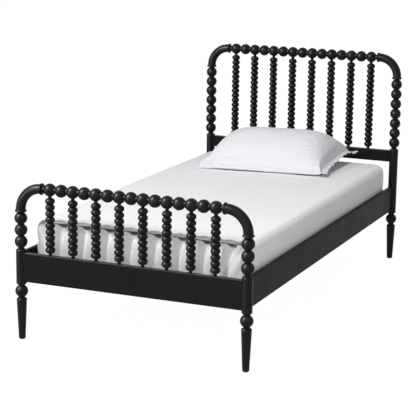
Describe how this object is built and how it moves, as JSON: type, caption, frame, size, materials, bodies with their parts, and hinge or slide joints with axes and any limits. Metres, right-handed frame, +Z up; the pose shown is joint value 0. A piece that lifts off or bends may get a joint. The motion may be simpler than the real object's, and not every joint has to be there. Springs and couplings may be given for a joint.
{
  "type": "spindle bed",
  "caption": "Twin spindle bed of turned, satin black wood: beaded posts, top rails and spindles, slats, a sheeted mattress and a pillow, which lift off.",
  "frame": {"origin": "centre of the footprint on the floor", "axes": "+X to the right seen from the foot, +Y from the foot to the head, +Z up"},
  "size_m": [1.0535, 2.0514, 1.0477],
  "materials": {
    "painted_wood": "satin black paint on turned and sawn wood",
    "slat_wood": "bare, planed pine",
    "dowel_wood": "bare beech",
    "plate_steel": "zinc-plated sheet steel",
    "screw_steel": "zinc-plated",
    "strap_webbing": "woven webbing",
    "glide_plastic": "matte",
    "mattress_cloth": "white cotton sheet drawn over the mattress",
    "pillow_cloth": "white cotton pillowcase"
  },
  "bodies": {
    "bed_frame": {"cleat_screws": "screw_steel", "corner_dowels": "dowel_wood", "foot_corner_left": "painted_wood", "foot_corner_right": "painted_wood", "foot_glides": "glide_plastic", "foot_post_left": "painted_wood", "foot_post_right": "painted_wood", "foot_rail": "painted_wood", "foot_spindle_1": "painted_wood", "foot_spindle_2": "painted_wood", "foot_spindle_3": "painted_wood", "foot_spindle_4": "painted_wood", "foot_spindle_5": "painted_wood", "foot_spindle_6": "painted_wood", "foot_spindle_7": "painted_wood", "foot_spindle_8": "painted_wood", "foot_top_rail": "painted_wood", "head_corner_left": "painted_wood", "head_corner_right": "painted_wood", "head_cross_rail": "painted_wood", "head_lower_rail": "painted_wood", "head_post_left": "painted_wood", "head_post_right": "painted_wood", "head_spindle_1": "painted_wood", "head_spindle_2": "painted_wood", "head_spindle_3": "painted_wood", "head_spindle_4": "painted_wood", "head_spindle_5": "painted_wood", "head_spindle_6": "painted_wood", "head_spindle_7": "painted_wood", "head_spindle_8": "painted_wood", "head_top_rail": "painted_wood", "hook_plates": "plate_steel", "plate_screws": "screw_steel", "side_rail_left": "painted_wood", "side_rail_right": "painted_wood", "slat_1": "slat_wood", "slat_2": "slat_wood", "slat_3": "slat_wood", "slat_4": "slat_wood", "slat_5": "slat_wood", "slat_6": "slat_wood", "slat_7": "slat_wood", "slat_8": "slat_wood", "slat_9": "slat_wood", "slat_10": "slat_wood", "slat_11": "slat_wood", "slat_12": "slat_wood", "slat_13": "slat_wood", "slat_cleat_left": "slat_wood", "slat_cleat_right": "slat_wood", "slat_screws": "screw_steel", "slat_strap_left": "strap_webbing", "slat_strap_right": "strap_webbing", "slot_plates": "plate_steel"},
    "mattress": {"mattress": "mattress_cloth"},
    "pillow": {"pillow": "pillow_cloth"}
  },
  "joints": [
    {"name": "mattress_lift", "type": "slide", "parent": "bed_frame", "child": "mattress", "axis": [0, 0, 1], "range_m": [0, 0.78]},
    {"name": "pillow_lift", "type": "slide", "parent": "mattress", "child": "pillow", "axis": [0, 0, 1], "range_m": [0, 0.58]}
  ]
}
